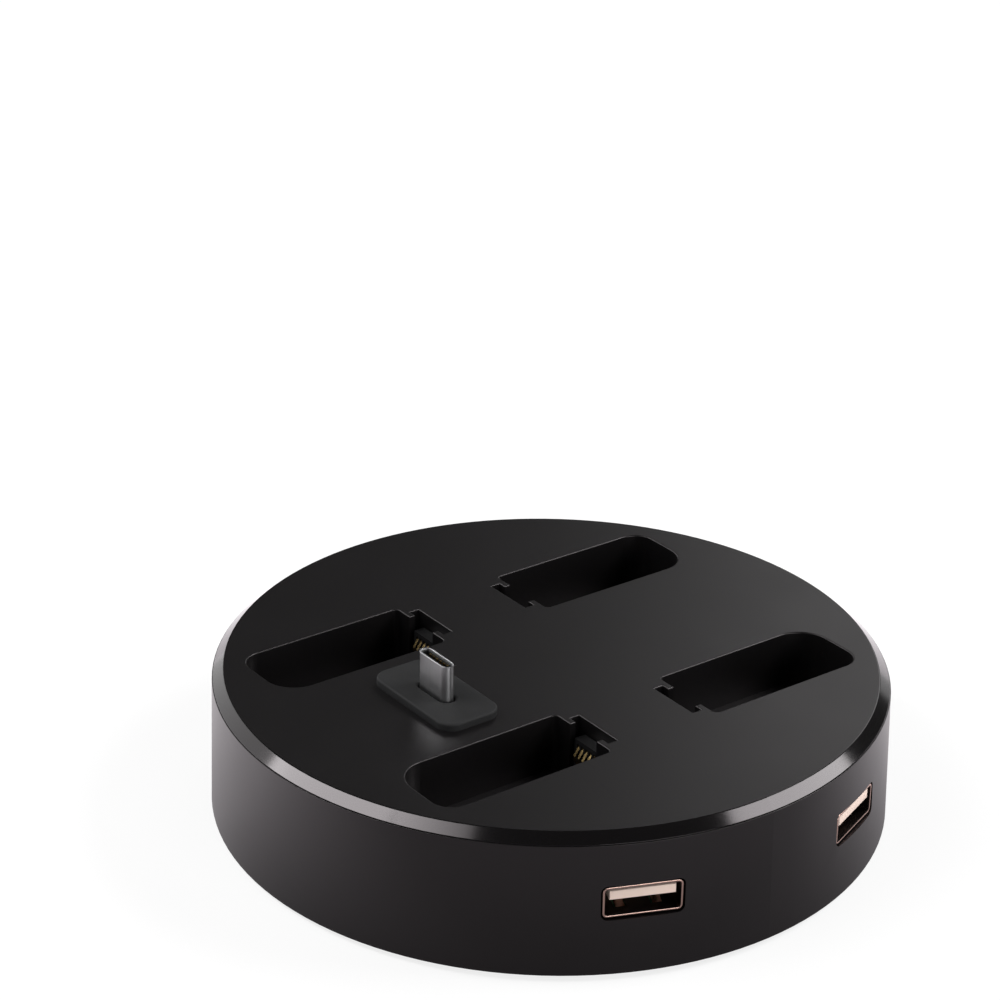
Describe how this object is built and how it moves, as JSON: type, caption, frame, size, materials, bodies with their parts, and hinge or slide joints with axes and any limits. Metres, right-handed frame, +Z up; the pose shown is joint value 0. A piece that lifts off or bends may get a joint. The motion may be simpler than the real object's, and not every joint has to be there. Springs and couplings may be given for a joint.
{
  "type": "charging dock",
  "caption": "Low round black charging dock with wells for detachable controllers, an upright console plug and charging sockets in its side.",
  "frame": {"origin": "on the floor, under the middle of the round body", "axes": "+Z up, -Y towards the side that the docked console's screen faces, +X towards the side sockets"},
  "size_m": [0.1202, 0.1202, 0.0346],
  "materials": {
    "cover_black": "satin moulded black, polished on the bevel",
    "wall_black": "satin moulded black",
    "base_black": "fine textured black",
    "block_black": "matt black",
    "carrier_black": "matt black",
    "plug_black": "matt black",
    "chip_black": "matt black",
    "coil_grey": "matt grey ferrite",
    "tongue_white": "matt off-white",
    "pad_rubber": "matt black",
    "foot_rubber": "matt dark grey",
    "board_green": "green solder mask",
    "port_nickel": "warm nickel plate",
    "plug_steel": "satin steel",
    "screw_steel": "zinc plate",
    "can_aluminium": "bare",
    "contact_gold": "gold flash"
  },
  "bodies": {
    "root": {"top_cover": "cover_black", "side_wall": "wall_black", "base_plate": "base_black", "console_pad": "pad_rubber", "main_board": "board_green", "plug_shell": "plug_steel", "plug_core": "plug_black", "plug_contacts": "contact_gold", "plug_carrier": "carrier_black", "riser_board": "board_green", "inlet_shell": "plug_steel", "inlet_tongue": "plug_black", "charge_controller": "chip_black", "power_inductor": "coil_grey", "filter_capacitors": "can_aluminium", "base_screws": "screw_steel", "board_screws": "screw_steel", "carrier_screws": "screw_steel", "foot_front_right": "foot_rubber", "contact_block_front_right": "block_black", "contact_leaves_front_right": "contact_gold", "foot_front_left": "foot_rubber", "contact_block_front_left": "block_black", "contact_leaves_front_left": "contact_gold", "foot_rear_right": "foot_rubber", "contact_block_rear_right": "block_black", "contact_leaves_rear_right": "contact_gold", "foot_rear_left": "foot_rubber", "contact_block_rear_left": "block_black", "contact_leaves_rear_left": "contact_gold", "port_shell_front": "port_nickel", "port_tongue_front": "tongue_white", "port_contacts_front": "contact_gold", "port_shell_rear": "port_nickel", "port_tongue_rear": "tongue_white", "port_contacts_rear": "contact_gold"}
  },
  "joints": []
}
